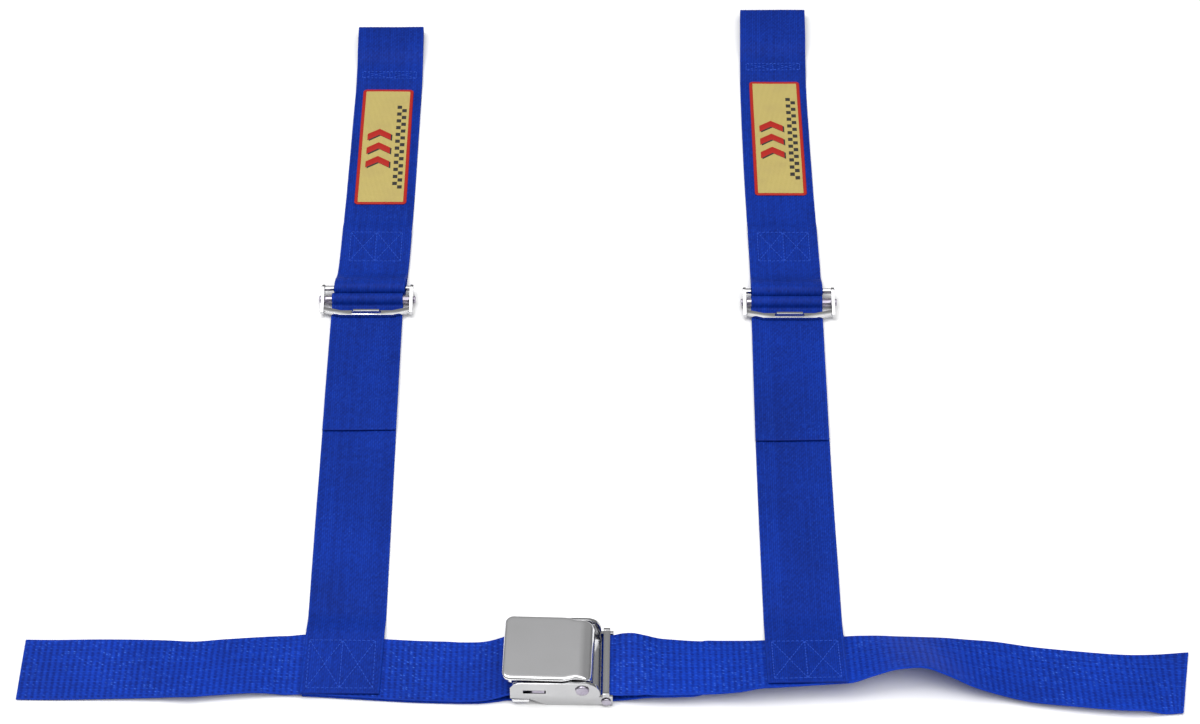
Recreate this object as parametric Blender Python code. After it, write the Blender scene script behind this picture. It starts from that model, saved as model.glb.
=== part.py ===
"""Four-point lap and shoulder harness with a lift-lever buckle, laid out flat.

Metres, +Z up. The origin is under the middle of the buckle, on the surface the harness lies on.
+X runs along the lap belt and +Y along the shoulder straps. The tongue side of the belt is at -X.
"""
import math

import bmesh
import bpy
from mathutils import Matrix, Vector

MM = 0.001
GAP = 0.3 * MM

# Webbing
WEB_WIDTH = 50 * MM
WEB_THICK = 1.4 * MM
LAYER = WEB_THICK + GAP
FLOOR_Z = WEB_THICK / 2
SECOND_Z = FLOOR_Z + LAYER

# Buckle, in its own frame, which is turned a little about Z
BUCKLE_YAW = math.radians(-0.8)
CHEEK_IN = 25.6 * MM
CHEEK_OUT = 27.8 * MM
BASE_THICK = 2 * MM
PIN = Vector((21 * MM, 0, 15.2 * MM))
PIN_R = 2.5 * MM
WEB_BAR = Vector((36.5 * MM, 0, 4.0 * MM))
TONGUE_BAR = Vector((-21.5 * MM, 0, 3.7 * MM))
BAR_R = 2 * MM
TONGUE_BAR_R = 1.7 * MM
BAR_CLEARANCE = GAP + WEB_THICK / 2
COVER_TOP = 24.2 * MM
COVER_SKIRT = 17.5 * MM
COVER_WALL = 1.5 * MM
COVER_HALF = (28.2 * MM, 24.4 * MM)

# Adjusters, seen from the side as (y, z), with y from the slide bar
SLIDE_BAR_Z = 4.7 * MM
REAR_BAR = (9.9 * MM, 6.5 * MM)
LOOP_AXIS = (11.0 * MM, 5.4 * MM)
LOOP_R = LOOP_AXIS[1] - FLOOR_Z - 0.1 * MM
SLIDE_WRAP_R = SLIDE_BAR_Z - FLOOR_Z
FIN_IN = 31 * MM
FIN_OUT = 33.2 * MM

SIDES = {
    "left": {"joint_x": -136, "joint_y": 1.8, "joint_roll": 0, "joint_rise": 0,
             "adjuster_x": -137, "adjuster_y": 343.5, "tail_y": 214,
             "lower_x": [(-40, -136), (40, -134.6), (202, -136), (322, -136.8), (420, -137)],
             "upper_x": [(340, -136.2), (385, -134.2), (451, -133.4), (591, -133), (670, -134.6)],
             "label_y": (450, 582), "label_x": -133.2, "top_y": 655},
    "right": {"joint_x": 165.5, "joint_y": 0.1, "joint_roll": 14, "joint_rise": 0.018,
              "adjuster_x": 169, "adjuster_y": 340.5, "tail_y": 204,
              "lower_x": [(-40, 165.5), (40, 165.5), (202, 165.8), (322, 167.4), (420, 168)],
              "upper_x": [(340, 168), (385, 168), (451, 167.4), (520, 167), (591, 167.6), (690, 170.6)],
              "label_y": (460, 592), "label_x": 168.4, "top_y": 677},
}


def clear_scene():
    for obj in list(bpy.data.objects):
        bpy.data.objects.remove(obj, do_unlink=True)


def material(name, colour, roughness, metallic=0.0):
    made = bpy.data.materials.new(name)
    made.use_nodes = True
    shader = made.node_tree.nodes["Principled BSDF"]
    shader.inputs["Base Color"].default_value = (*colour, 1)
    shader.inputs["Roughness"].default_value = roughness
    shader.inputs["Metallic"].default_value = metallic
    return made


def empty(name, location, parent=None, yaw=0.0):
    made = bpy.data.objects.new(name, None)
    made.parent = parent
    made.location = location
    made.rotation_euler.z = yaw
    bpy.context.scene.collection.objects.link(made)
    bpy.context.view_layer.update()
    return made


# ---- Meshes -------------------------------------------------------------------------------------


def mesh_object(name, mesh, parent, finish=None, frame=None):
    """An object under parent, from a mesh whose points are in frame, or in the world."""
    if frame is not None:
        mesh.transform(frame.matrix_world)
    mesh.transform(parent.matrix_world.inverted())
    obj = bpy.data.objects.new(name, mesh)
    obj.parent = parent
    if finish:
        mesh.materials.append(finish)
    bpy.context.scene.collection.objects.link(obj)
    bpy.context.view_layer.update()
    return obj


def from_bmesh(name, bm, smooth_angle=30):
    bmesh.ops.recalc_face_normals(bm, faces=bm.faces)
    mesh = bpy.data.meshes.new(name)
    bm.to_mesh(mesh)
    bm.free()
    mesh.shade_smooth()
    mesh.set_sharp_from_angle(angle=math.radians(smooth_angle))
    return mesh


def box(name, low, high):
    bm = bmesh.new()
    bmesh.ops.create_cube(bm, size=1)
    size = Vector(high) - Vector(low)
    middle = (Vector(high) + Vector(low)) / 2
    bmesh.ops.scale(bm, vec=size, verts=bm.verts)
    bmesh.ops.translate(bm, vec=middle, verts=bm.verts)
    return from_bmesh(name, bm)


def prism(name, outline, axis, low, high):
    """The outline, a list of two coordinates, extruded along axis from low to high."""
    lift = {
        "X": lambda a, b, c: (c, a, b),
        "Y": lambda a, b, c: (a, c, b),
        "Z": lambda a, b, c: (a, b, c),
    }[axis]
    bm = bmesh.new()
    face = bm.faces.new([bm.verts.new(lift(a, b, low)) for a, b in outline])
    grown = bmesh.ops.extrude_face_region(bm, geom=[face])
    moved = [v for v in grown["geom"] if isinstance(v, bmesh.types.BMVert)]
    bmesh.ops.translate(bm, vec=lift(0, 0, high - low), verts=moved)
    return from_bmesh(name, bm)


def turned(name, profile, middle, axis="Y", sides=24):
    """A solid of revolution about an axis through middle. The profile is (along, radius)."""
    bm = bmesh.new()
    rings = []
    for along, radius in profile:
        ring = []
        for k in range(sides):
            turn = 2 * math.pi * k / sides
            a, b = radius * math.cos(turn), radius * math.sin(turn)
            point = (along, a, b) if axis == "X" else (a, along, b)
            ring.append(bm.verts.new(Vector(point) + Vector(middle)))
        rings.append(ring)
    bridge(bm, rings)
    return from_bmesh(name, bm)


def bridge(bm, rings):
    """Faces between each ring and the next, and a face over each end."""
    for one, other in zip(rings, rings[1:]):
        count = len(one)
        for k in range(count):
            bm.faces.new((one[k], one[(k + 1) % count], other[(k + 1) % count], other[k]))
    bm.faces.new(rings[0])
    bm.faces.new(rings[-1])


def boolean(target, mesh, parent, operation, frame=None):
    """Adds the mesh to the target or cuts it out, with a helper that isn't rendered."""
    helper = mesh_object(f"helper_{target.name}_{len(target.modifiers)}", mesh, parent, frame=frame)
    helper.hide_render = True
    helper.display_type = "WIRE"
    modifier = target.modifiers.new(operation.lower(), "BOOLEAN")
    modifier.operation = operation
    modifier.solver = "EXACT"
    modifier.object = helper


def arc(u, w, radius, start, end, count):
    """Points on an arc about (u, w), with its angles in degrees."""
    turns = [math.radians(start + (end - start) * k / count) for k in range(count + 1)]
    return [(u + radius * math.cos(t), w + radius * math.sin(t)) for t in turns]


def millimetres(points):
    return [tuple(value * MM for value in point) for point in points]


# ---- Webbing ------------------------------------------------------------------------------------


def between(table, at):
    """Straight-line value of a table of (place, value) pairs."""
    for (a, first), (b, second) in zip(table, table[1:]):
        if at <= b:
            break
    share = min(max((at - a) / (b - a), 0), 1)
    return first + (second - first) * share


def smooth_run(stations, step):
    """A smooth curve through the stations, with a point about every step."""
    gaps = [max((b[0] - a[0]).length, 1e-6) for a, b in zip(stations, stations[1:])]
    count = len(stations)

    def slope(i, part):
        """The way the curve heads at a station, level in any direction that turns back there."""
        if i == 0:
            return (stations[1][part] - stations[0][part]) / gaps[0]
        if i == count - 1:
            return (stations[-1][part] - stations[-2][part]) / gaps[-1]
        before, after = gaps[i - 1], gaps[i]
        left = (stations[i][part] - stations[i - 1][part]) / before
        right = (stations[i + 1][part] - stations[i][part]) / after
        mixed = (left * after + right * before) / (before + after)
        return Vector([m if l * r > 0 else 0 for m, l, r in zip(mixed, left, right)])

    run = []
    for i, gap in enumerate(gaps):
        pieces = max(1, math.ceil(gap / step - 0.01))
        for k in range(pieces + (i == count - 2)):
            t = k / pieces
            values = []
            for part in (0, 1):
                p, q = stations[i][part], stations[i + 1][part]
                m, n = slope(i, part) * gap, slope(i + 1, part) * gap
                values.append(
                    p * (2 * t**3 - 3 * t**2 + 1) + m * (t**3 - 2 * t**2 + t)
                    + q * (3 * t**2 - 2 * t**3) + n * (t**3 - t**2)
                )
            run.append(values)
    return run


def webbing(name, stations, parent, finish, step=9 * MM, end_skew=0.0):
    """A flat strap. Each station is its middle and a vector across it, towards its far edge."""
    run = smooth_run(stations, step)
    bm = bmesh.new()
    rings = []
    for i, (middle, across) in enumerate(run):
        ahead = (run[min(i + 1, len(run) - 1)][0] - run[max(i - 1, 0)][0]).normalized()
        side = across.normalized() * (WEB_WIDTH / 2)
        up = side.cross(ahead).normalized() * (WEB_THICK / 2)
        skew = Vector((ahead.x, ahead.y, 0)) * (end_skew if i == 0 else 0)
        corners = (side + up - skew, side - up - skew, -side - up + skew, -side + up + skew)
        rings.append([bm.verts.new(middle + corner) for corner in corners])
    bridge(bm, rings)
    return mesh_object(name, from_bmesh(name, bm), parent, finish)


def round_bar(bar, radius, start, end):
    """Stations of the lap belt round one of the buckle's bars, from one angle to another."""
    turn = Matrix.Rotation(BUCKLE_YAW, 3, "Z")
    wrap = arc(bar.x, bar.z, radius + BAR_CLEARANCE, start, end, 8)
    return [(turn @ Vector((x, 0, z)), turn @ Vector((0, 1, 0))) for x, z in wrap]


def by_buckle(rows):
    """Stations of the lap belt beside the buckle, from rows of x, y, z and roll."""
    stations = []
    for x, y, z, roll in rows:
        lean = math.radians(roll)
        stations.append((Vector((x, y, z)) * MM, Vector((0, math.cos(lean), -math.sin(lean)))))
    return stations


def belt_station(x, y, z, roll=0.0):
    """A station of the lap belt in mm. With roll, in degrees, the edge at -Y rises, +Y stays low."""
    lean = math.radians(roll)
    lift = WEB_WIDTH / 2 * math.sin(abs(lean))
    return Vector((x * MM, y * MM, z * MM + lift)), Vector((0, math.cos(lean), -math.sin(lean)))


def on_plane(place, roll, layers):
    """The station lifted by whole layers, square to the belt's own plane."""
    middle, across = place
    lean = math.radians(roll)
    return middle + Vector((0, math.sin(lean), math.cos(lean))) * layers * LAYER, across


# Each row of the belt: x, y, height of its lowest layer, roll in degrees, layers under it
LEFT_BELT = [
    (-344, 0.9, 0.7, 0, 0), (-318, 0.5, 0.7, 0, 0), (-280, 0.6, 0.7, 1.5, 0), (-252, 0.2, 0.7, 3, 0),
    (-234, -0.8, 0.7, 5, 0), (-215, 1.0, 0.7, 5, 0), (-196, 2.6, 0.7, 5, 0), (-178, 3.6, 0.7, 2.5, 0),
    (-172, 3.7, 0.7, 1.2, 0), (-160, 3.3, 0.7, 0, 1), (-136, 1.8, 0.7, 0, 1), (-110, 0.0, 0.7, 0, 1),
    (-85, -1.6, 0.7, 0, 1), (-68, -2.2, 0.7, 0, 1),
]
RIGHT_BELT = [
    (411, -10.4, 0.7, 0, 0), (397, -11.6, 0.7, 0, 0), (379, -12.3, 0.7, 5, 0), (335, -8.4, 0.7, 5, 0),
    (312, -5.0, 0.7, 4.5, 0), (290, -0.8, 0.7, 7, 0), (272, 1.2, 0.7, 13, 0), (255, 3.4, 0.7, 20.5, 0),
    (238, 4.8, 0.7, 25.5, 0), (222, 5.0, 0.7, 24, 0.1), (207, 3.8, 0.7, 18.5, 0.6),
    (192, 2.0, 0.7, 14, 1), (165.5, 0.1, 0.7, 14, 1), (139, -1.8, 0.7, 14, 1),
    (120, -2.4, 0.7, 10, 1), (104, -2.3, 0.7, 8, 1.1),
]

# The belt beside the buckle: x, y and z of its middle, and its roll
RIGHT_HUMP = [
    (90, -2.5, 6.6, 6.5), (80, -2.5, 7.0, 5), (70, -2.3, 7.4, 3.2), (61, -1.9, 7.6, 0.5),
    (53, -1.4, 7.6, -3), (47, -1.0, 7.4, -3), (41.5, -0.6, 7.1, -0.5),
]
RIGHT_RETURN = [
    (41, -0.6, 1.5, -0.5), (47, -1.0, 3.4, -2.5), (53, -1.4, 5.0, -3), (61, -1.9, 5.5, 0.5),
    (70, -2.3, 5.4, 3.2), (80, -2.5, 5.1, 5), (90, -2.5, 4.75, 6.5),
]
LEFT_ENTRY = [
    (-58, -2.4, 2.4, 0), (-48, -2.3, 2.6, 0), (-40, -1.8, 3.3, 0), (-33, -0.7, 4.6, 0),
    (-27.5, 0.2, 5.9, 0),
]
LEFT_RETURN = [(-28, 0.2, 0.85, 0), (-34, -0.8, 0.7, 0), (-42, -2.0, 0.7, 0), (-58, -2.4, 0.7, 0)]


def left_belt_route():
    """Free end, over the return layer, round the tongue's bar and back to the joint underneath."""
    out = [on_plane(belt_station(x, y, z, roll), roll, layers) for x, y, z, roll, layers in LEFT_BELT]
    out += by_buckle(LEFT_ENTRY) + round_bar(TONGUE_BAR, TONGUE_BAR_R, 90, -90) + by_buckle(LEFT_RETURN)
    back = [row for row in reversed(LEFT_BELT) if -162 < row[0] < -60]
    return out + [belt_station(x, y, z, roll) for x, y, z, roll, _ in back]


def right_belt_route():
    """Free end, over the return layer, up into the slack hump and round the buckle's bar."""
    out = [on_plane(belt_station(x, y, z, roll), roll, layers) for x, y, z, roll, layers in RIGHT_BELT]
    out += by_buckle(RIGHT_HUMP) + round_bar(WEB_BAR, BAR_R, 90, 270) + by_buckle(RIGHT_RETURN)
    back = [row for row in reversed(RIGHT_BELT) if 100 < row[0] < 193]
    return out + [belt_station(x, y, z, roll) for x, y, z, roll, _ in back]


def lower_strap_route(side):
    """From the joint on the lap belt, round the adjuster's slide bar, and back on top as the tail."""
    lean = math.radians(side["joint_roll"])
    middle, _ = on_plane(belt_station(0, side["joint_y"], 0.7, side["joint_roll"]), side["joint_roll"], 2)
    bar_y = side["adjuster_y"]
    run = []
    for along in (-24, -8, 8, 24, 27):
        run.append((middle.y + along * MM * math.cos(lean), middle.z - along * MM * math.sin(lean)))
    end_y, end_z = run[-1]
    run += [(end_y + 4 * MM, end_z - 0.5 * MM), (end_y + 9 * MM, (end_z + FLOOR_Z) / 2),
            (end_y + 15 * MM, FLOOR_Z + 0.4 * MM)]
    run += millimetres([(y, 0.7) for y in (52, 70, 150, 250, bar_y - 27)])
    run += arc(bar_y * MM, SLIDE_BAR_Z, SLIDE_WRAP_R, -90, 180, 14)
    bend = 2.3 * MM
    run += arc(bar_y * MM - SLIDE_WRAP_R - bend, SLIDE_BAR_Z, bend, 0, -90, 4)[1:]
    run += [(y * MM, SECOND_Z) for y in (bar_y - 15, bar_y - 29, 270, side["tail_y"])]
    stations = []
    for k, (y, z) in enumerate(run):
        across = Vector((1, 0, side["joint_rise"] if k < 6 else 0))
        stations.append((Vector((between(side["lower_x"], y / MM) * MM, y, z)), across))
    return stations


def upper_strap_route(side):
    """From its end under the adjuster seam, round the rear bar, up the label, and round the top."""
    top, label_top, bar_y = side["top_y"], side["label_y"][1], side["adjuster_y"]
    run = millimetres([(419, 0.7), (398, 0.7), (bar_y + 30, 0.7), (bar_y + 18, 0.7)])
    run += arc(bar_y * MM + LOOP_AXIS[0], LOOP_AXIS[1], LOOP_R, 270, 90, 12)
    run += millimetres([(bar_y + 17, 8.6), (bar_y + 23, 5.2), (bar_y + 29, 2.9), (bar_y + 36, 2.4)])
    run += millimetres([(402, 2.4), (421, 2.4), (430, 0.75)])
    run += millimetres([(440, 0.7), (500, 0.7), (label_top - 8, 0.7), (label_top + 1, 0.8)])
    run += millimetres([(label_top + 11, 2.35), (label_top + 24, 2.4), (label_top + 31, 3.2)])
    run += millimetres([(label_top + 43, 6.7), (label_top + 55, 7.9)])
    eye = 3.6
    run += arc((top - eye - 0.7) * MM, FLOOR_Z + (eye + 0.1) * MM, eye * MM, 90, -90, 8)
    run += millimetres([(top - 20, 0.7), (label_top + 30, 0.7), (label_top + 14, 0.7)])
    across = Vector((1, 0, 0))
    return [(Vector((between(side["upper_x"], y / MM) * MM, y, z)), across) for y, z in run]


# ---- Stitched seams and label -------------------------------------------------------------------


def shrunk_triangle(corners, by):
    """The triangle with each side moved in by the given distance, towards its inscribed circle's middle."""
    a, b, c = (Vector(corner) for corner in corners)
    sides = ((b - c).length, (c - a).length, (a - b).length)
    middle = (a * sides[0] + b * sides[1] + c * sides[2]) / sum(sides)
    area = abs((b - a).cross(c - a)) / 2
    share = 1 - by * sum(sides) / (2 * area)
    return [middle + (corner - middle) * share for corner in (a, b, c)]


def thread_panel(name, parent, finish, boxes, frame):
    """Rows of stitching as one flat net: a border and a cross in each of the boxes (x0, x1, y0, y1)."""
    thread, tall = 1.1 * MM, 0.4 * MM
    low = (min(b[0] for b in boxes) - thread / 2, boxes[0][2] - thread / 2, 0)
    high = (max(b[1] for b in boxes) + thread / 2, boxes[0][3] + thread / 2, tall)
    net = mesh_object(name, box(name, low, high), parent, finish, frame)
    bm = bmesh.new()
    for x0, x1, y0, y1 in boxes:
        middle = ((x0 + x1) / 2, (y0 + y1) / 2)
        rim = [(x0, y0), (x1, y0), (x1, y1), (x0, y1)]
        for start, end in zip(rim, rim[1:] + rim[:1]):
            corners = shrunk_triangle((start, end, middle), thread / 2)
            floor = [bm.verts.new((v.x, v.y, -tall)) for v in corners]
            roof = [bm.verts.new((v.x, v.y, 2 * tall)) for v in corners]
            bridge(bm, [floor, roof])
    boolean(net, from_bmesh(f"{name}_gaps", bm), parent, "DIFFERENCE", frame)


def seams(which, side, lap_body, upper_body, thread):
    lean = math.radians(side["joint_roll"])
    joint = empty(f"joint_frame_{which}", (0, 0, 0))
    middle, _ = on_plane(belt_station(side["joint_x"], side["joint_y"], 0.7, side["joint_roll"]),
                         side["joint_roll"], 2)
    lift = Vector((0, math.sin(lean), math.cos(lean))) * (WEB_THICK / 2 + GAP)
    rise = Matrix.Rotation(-math.atan(side["joint_rise"]), 4, "Y")
    joint.matrix_world = Matrix.Translation(middle + lift) @ Matrix.Rotation(-lean, 4, "X") @ rise
    bpy.context.view_layer.update()
    half_w, half_h = 21.5 * MM, 20 * MM
    boxes = [(-half_w, 0, -half_h, half_h), (0, half_w, -half_h, half_h)]
    thread_panel(f"lap_seam_{which}", lap_body, thread, boxes, joint)

    above = SECOND_Z + WEB_THICK / 2 + GAP
    at_adjuster = empty(f"adjuster_seam_frame_{which}",
                        (between(side["upper_x"], 401) * MM, 401 * MM, above))
    boxes = [(-19 * MM, 0, -15 * MM, 16 * MM), (0, 19 * MM, -15 * MM, 16 * MM)]
    thread_panel(f"adjuster_seam_{which}", upper_body, thread, boxes, at_adjuster)

    loop_y = side["label_y"][1] + 17.5
    at_loop = empty(f"loop_seam_frame_{which}",
                    (between(side["upper_x"], loop_y) * MM, loop_y * MM, above))
    boxes = [(-21 * MM, 0, -4 * MM, 4 * MM), (0, 21 * MM, -4 * MM, 4 * MM)]
    thread_panel(f"loop_seam_{which}", upper_body, thread, boxes, at_loop)


def label(which, side, upper_body, finish):
    half, tall = 19 * MM, 0.6 * MM
    y0, y1 = (value * MM for value in side["label_y"])
    low = WEB_THICK + GAP + 0.1 * MM
    corners = [(-half, y0), (half, y0), (half, y1), (-half, y1)]
    x = side["label_x"] * MM
    mesh = prism(f"label_{which}", [(x + a, b) for a, b in corners], "Z", low, low + tall)
    mesh_object(f"label_{which}", mesh, upper_body, finish)


# ---- Adjusters ----------------------------------------------------------------------------------


def adjuster(which, side, frame_body, bar_body, chrome, steel):
    """A slide adjuster: fins joined by a round rear bar and a front bar, and a floating slide bar.

    Its own y is measured from the slide bar's axis.
    """
    place = empty(f"adjuster_place_{which}", (side["adjuster_x"] * MM, side["adjuster_y"] * MM, 0))
    fin = [(-14.5, 3.5), (-11, 2.2), (-6.5, 0.9), (3.5, 0.9), (7, 3.0), (10.4, 4.0), (12.5, 5.2),
           (12.5, 8.0), (11.1, 8.9), (6.8, 9.2), (5.3, 13.2), (4.1, 13.0), (-2.5, 9.2), (-14.5, 6.6)]
    name = f"adjuster_frame_{which}"
    ring = None
    for low in (-FIN_OUT, FIN_IN):
        mesh = prism(name, millimetres(fin), "X", low, low + FIN_OUT - FIN_IN)
        if ring is None:
            ring = mesh_object(name, mesh, frame_body, chrome, place)
        else:
            boolean(ring, mesh, frame_body, "UNION", place)
    reach = FIN_IN + 1.2 * MM
    rear = turned(name, [(-reach, BAR_R), (reach, BAR_R)], (0, *REAR_BAR), "X", 16)
    front_half = [(18.5, -12.5), (27, -9.9), (32.2, -8.7), (32.2, -11.9), (28.5, -13.9), (19, -17.1)]
    front_outline = front_half + [(-x, y) for x, y in reversed(front_half)]
    front = prism(name, millimetres(front_outline), "Z", 3.8 * MM, 6.0 * MM)
    tab = prism(name, millimetres([(-11, 5.4), (11, 5.4), (9.4, 8.6), (-9.4, 8.6)]), "Y",
                -15.9 * MM, -13.9 * MM)
    for mesh in (rear, front, tab):
        boolean(ring, mesh, frame_body, "UNION", place)
    neck, travel = 2.3 * MM, 2.6 * MM
    slot = arc(0, SLIDE_BAR_Z, neck, -90, 90, 8) + arc(-travel, SLIDE_BAR_Z, neck, 90, 270, 8)
    through = FIN_OUT + 2 * MM
    boolean(ring, prism(name, slot, "X", -through, through), frame_body, "DIFFERENCE", place)

    shoulder, end = FIN_IN - GAP, FIN_OUT + GAP
    half = [(shoulder, 3.0 * MM), (shoulder + 0.01 * MM, 2.0 * MM), (end, 2.0 * MM),
            (end + 0.01 * MM, 2.7 * MM), (end + 1.0 * MM, 2.7 * MM), (end + 1.5 * MM, 2.1 * MM)]
    profile = [(-x, r) for x, r in reversed(half)] + half
    mesh = turned(f"slide_bar_{which}", profile, (0, 0, SLIDE_BAR_Z), "X", 20)
    mesh_object(f"slide_bar_{which}", mesh, bar_body, steel, place)


# ---- Buckle -------------------------------------------------------------------------------------


def buckle_frame(body, chrome):
    """Two cheeks joined by a base plate and by the bridge over the webbing."""
    top = 21
    nose = [(28, 0), (40.5, 0), (40.5, 8), (38.4, 8), (38.4, 11.2), (34, 11.2), (34, 8)]
    shoulder = [(x / MM, z / MM) for x, z in arc(23 * MM, 11.5 * MM, 9.5 * MM, -20, 90, 8)]
    front = [(-19.5, top), (-23, 20), (-25.3, 16.5), (-25.3, 6.2), (-12.5, 5.6), (-7, 2.6), (-1.5, 0)]
    outline = millimetres(nose + shoulder + front)
    cheek = prism("cheek", outline, "Y", -CHEEK_OUT, -CHEEK_IN)
    frame = mesh_object("buckle_frame", cheek, body, chrome, body)
    boolean(frame, prism("cheek", outline, "Y", CHEEK_IN, CHEEK_OUT), body, "UNION", body)
    inside = CHEEK_IN + 0.8 * MM
    plate = box("base", (-3.1 * MM, -inside, 0.0), (32.2 * MM, inside, BASE_THICK))
    bridge_plate = box("bridge", (34.1 * MM, -inside, 9.2 * MM), (38.3 * MM, inside, 11.1 * MM))
    for mesh in (plate, bridge_plate):
        boolean(frame, mesh, body, "UNION", body)
    through = CHEEK_OUT + 2 * MM
    holes = ((PIN, PIN_R + GAP), (WEB_BAR, BAR_R + GAP))
    for middle, radius in holes:
        hole = turned("hole", [(-through, radius), (through, radius)], middle, "Y", 20)
        boolean(frame, hole, body, "DIFFERENCE", body)
    slot = box("slot", (-17 * MM, -through, 11.2 * MM), (-2.3 * MM, through, 14.3 * MM))
    boolean(frame, slot, body, "DIFFERENCE", body)


def headed_pin(name, middle, radius, head_radius, head, body, finish):
    """A round bar through both cheeks with a domed head on each end."""
    face = CHEEK_OUT + GAP
    half = [(face, radius), (face + 0.01 * MM, head_radius), (face + head * 0.6, head_radius * 0.94),
            (face + head * 0.9, head_radius * 0.7), (face + head, head_radius * 0.35)]
    profile = [(-y, r) for y, r in reversed(half)] + half
    mesh_object(name, turned(name, profile, middle, "Y", 24), body, finish, body)


def tongue_guide(body, steel):
    """A cross plate over the tongue, with an ear staked in each cheek's slot."""
    low, high = 11.5 * MM, 14.0 * MM
    inner, ear = CHEEK_IN - GAP, CHEEK_OUT - 0.1 * MM
    wide, narrow = (-11.8 * MM, -2.6 * MM), (-11.2 * MM, -3.2 * MM)
    half = [(wide[1], inner), (narrow[1], inner), (narrow[1], ear), (narrow[0], ear), (narrow[0], inner),
            (wide[0], inner)]
    outline = half + [(x, -y) for x, y in reversed(half)]
    mesh_object("tongue_guide", prism("tongue_guide", outline, "Z", low, high), body, steel, body)


def lever_spring(body, steel):
    """A torsion spring round the pin: one leg down on the frame side, one up under the cover."""
    coil_r, wire_r, turns, pitch = 4.1 * MM, 0.6 * MM, 6, 1.9 * MM
    half = turns * pitch / 2
    path = [Vector((PIN.x - 7 * MM, -half, PIN.z + coil_r))]
    steps = turns * 14 + 7
    for k in range(steps + 1):
        turn = math.pi / 2 - 2 * math.pi * k / 14
        path.append(Vector((PIN.x + coil_r * math.cos(turn), -half + 2 * half * k / steps,
                            PIN.z + coil_r * math.sin(turn))))
    path.append(Vector((PIN.x - 8 * MM, half, PIN.z - coil_r)))
    mesh_object("lever_spring", tube("lever_spring", path, wire_r, 6), body, steel, body)


def tube(name, path, radius, sides):
    bm = bmesh.new()
    rings = []
    for i, point in enumerate(path):
        ahead = (path[min(i + 1, len(path) - 1)] - path[max(i - 1, 0)]).normalized()
        level = ahead.cross(Vector((0, 1, 0))).normalized()
        over = level.cross(ahead)
        ring = []
        for k in range(sides):
            turn = 2 * math.pi * k / sides
            ring.append(bm.verts.new(point + (level * math.cos(turn) + over * math.sin(turn)) * radius))
        rings.append(ring)
    bridge(bm, rings)
    return from_bmesh(name, bm, 60)


def cover_outline(half_x, half_y, corner):
    """A rectangle with round corners, with extra points along the long sides for the bend."""
    points = []
    for sx, sy, start in ((1, 1, 0), (-1, 1, 90), (-1, -1, 180), (1, -1, 270)):
        points += arc(sx * (half_x - corner), sy * (half_y - corner), corner, start, start + 90, 5)
        along = [half_x * f for f in (0.72, 0.6, 0.48, 0, -0.5)]
        if start == 0:
            points += [(x, half_y) for x in along]
        if start == 180:
            points += [(x, -half_y) for x in reversed(along)]
    return points


def cover_level(half_x, half_y, corner, inset, height, bend_from, bend_by):
    """One ring of the cover. Past bend_from the cover rolls down towards its rear edge."""
    points = []
    corner = max(corner - inset, 0.8 * MM)
    for x, y in cover_outline(half_x - inset, half_y - inset, corner):
        share = min(max((x - bend_from) / (COVER_HALF[0] * 1.06 - bend_from), 0), 1)
        points.append(Vector((x, y, height - bend_by * (1 - math.sqrt(1 - share * share)))))
    return points


def lever_cover(body, frame, chrome):
    """A drawn sheet cover, rolled down at the rear, with two lugs on the pivot pin."""
    half_x, half_y = COVER_HALF
    edge, corner, bend_from, bend_by = 2.2 * MM, 5 * MM, 14 * MM, 9 * MM
    levels = [(0.0, COVER_SKIRT)]
    levels += [(edge * (1 - math.cos(a)), COVER_TOP - edge * (1 - math.sin(a)))
               for a in (0, math.pi / 6, math.pi / 3, math.pi / 2)]
    levels += [(extra * MM, COVER_TOP) for extra in (4.5, 7.5, 11, 15)]
    inner_x, inner_y, inner_edge = half_x - COVER_WALL, half_y - COVER_WALL, 1.2 * MM
    inner_top = COVER_TOP - COVER_WALL
    hollow = [(extra * MM, inner_top) for extra in (14, 10, 6.5, 3.5)]
    hollow += [(inner_edge * (1 - math.cos(a)), inner_top - inner_edge * (1 - math.sin(a)))
               for a in (math.pi / 2, math.pi / 4, 0)]
    hollow += [(0.0, COVER_SKIRT)]
    bm = bmesh.new()
    rings = []
    for inset, height in levels[::-1]:
        points = cover_level(half_x, half_y, corner, inset, height, bend_from, bend_by)
        rings.append([bm.verts.new(p) for p in points])
    for inset, height in hollow[::-1]:
        points = cover_level(inner_x, inner_y, corner - COVER_WALL, inset, height, bend_from, bend_by)
        rings.append([bm.verts.new(p) for p in points])
    bridge(bm, rings)
    cover = mesh_object("lever_cover", from_bmesh("lever_cover", bm, 40), body, chrome, frame)

    lug_r, lug_in, lug_out = 5 * MM, 21.5 * MM, 23.7 * MM
    foot = inner_top + 0.7 * MM
    round_end = arc(PIN.x, PIN.z, lug_r, 180, 360, 10)
    outline = [(PIN.x - 0.5 * MM, foot - 0.5 * MM), (PIN.x - 9 * MM, foot)] + round_end
    for low, high in ((-lug_out, -lug_in), (lug_in, lug_out)):
        boolean(cover, prism("lug", outline, "Y", low, high), body, "UNION", frame)
    bore = turned("bore", [(-27 * MM, PIN_R + GAP), (27 * MM, PIN_R + GAP)], PIN, "Y", 20)
    boolean(cover, bore, body, "DIFFERENCE", frame)


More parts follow.
